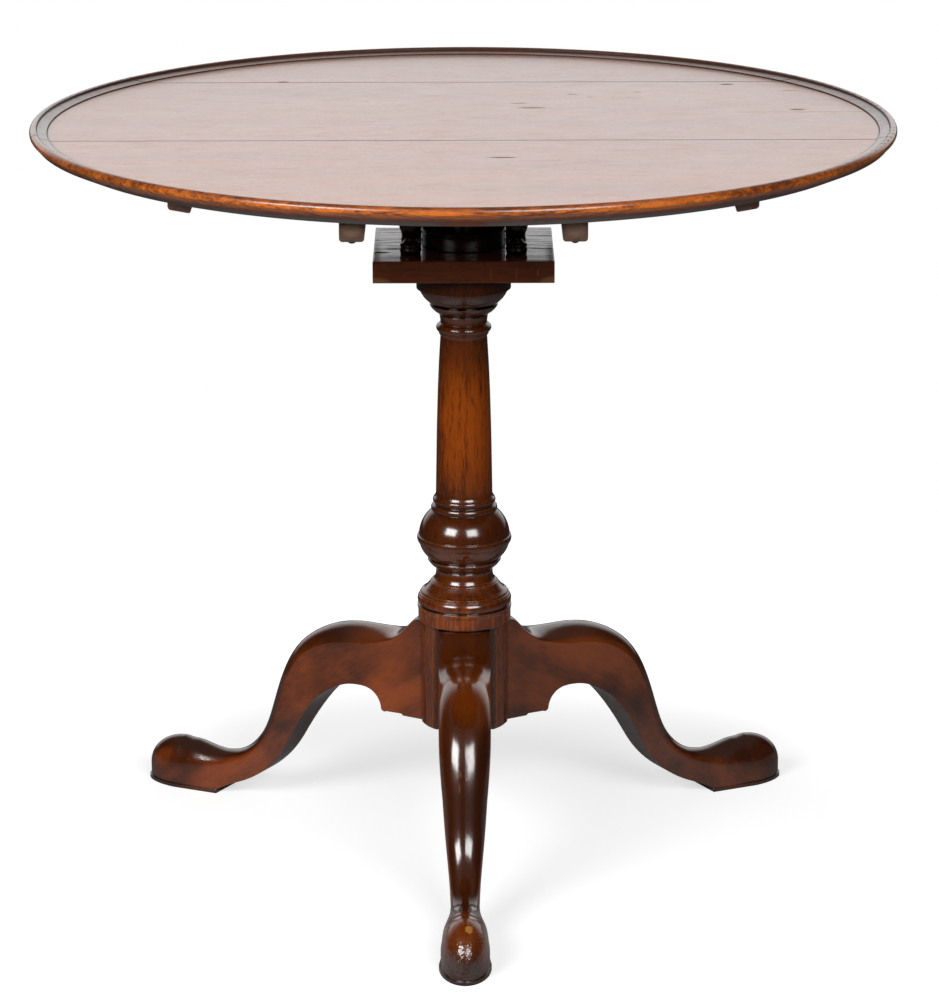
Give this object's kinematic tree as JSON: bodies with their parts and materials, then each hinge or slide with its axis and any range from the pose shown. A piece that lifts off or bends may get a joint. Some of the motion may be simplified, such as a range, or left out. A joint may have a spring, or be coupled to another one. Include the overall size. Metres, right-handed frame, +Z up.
{
  "type": "tilt-top tea table",
  "caption": "Round tray-top tea table: a dished mahogany top that turns and tilts on a birdcage, over a turned column on cabriole legs with slipper feet.",
  "frame": {"origin": "on the floor under the column's axis", "axes": "+Z up, +X to the right along the grain of the top, -Y to the front, where the front leg points"},
  "size_m": [0.816, 0.8158, 0.724],
  "materials": {
    "top_mahogany": "polished",
    "batten_wood": "worn",
    "cage_mahogany": "polished",
    "turned_mahogany": "polished",
    "leg_mahogany": "polished",
    "brass": "aged",
    "iron": "aged"
  },
  "bodies": {
    "stand": {"column": "turned_mahogany", "collar": "turned_mahogany", "leg_front": "leg_mahogany", "leg_back_left": "leg_mahogany", "leg_back_right": "leg_mahogany"},
    "wedge": {"wedge": "cage_mahogany"},
    "birdcage": {"cage_upper_block": "cage_mahogany", "cage_lower_block": "cage_mahogany", "baluster_front_left": "turned_mahogany", "baluster_front_right": "turned_mahogany", "baluster_back_left": "turned_mahogany", "baluster_back_right": "turned_mahogany", "latch_keeper": "brass", "keeper_screws": "iron"},
    "top": {"top_board_front": "top_mahogany", "top_board_middle": "top_mahogany", "top_board_back": "top_mahogany", "batten_inner_left": "batten_wood", "batten_inner_right": "batten_wood", "batten_outer_left": "batten_wood", "batten_outer_right": "batten_wood", "batten_screws": "iron", "latch_case": "brass", "latch_screws": "iron"},
    "bolt": {"latch_bolt": "iron", "latch_knob": "brass"}
  },
  "joints": [
    {"name": "cage_turn", "type": "hinge", "parent": "stand", "child": "birdcage", "pos_m": [0, 0, 0.582], "axis": [0, 0, 1], "continuous": true},
    {"name": "top_tilt", "type": "hinge", "parent": "birdcage", "child": "top", "pos_m": [0, 0.06535, 0.69235], "axis": [-1, 0, 0], "range_deg": [0, 90]},
    {"name": "bolt_slide", "type": "slide", "parent": "top", "child": "bolt", "axis": [0, 1, 0], "range_m": [0, 0.009]},
    {"name": "wedge_draw", "type": "slide", "parent": "stand", "child": "wedge", "axis": [1, 0, 0], "range_m": [0, 0.024]}
  ]
}
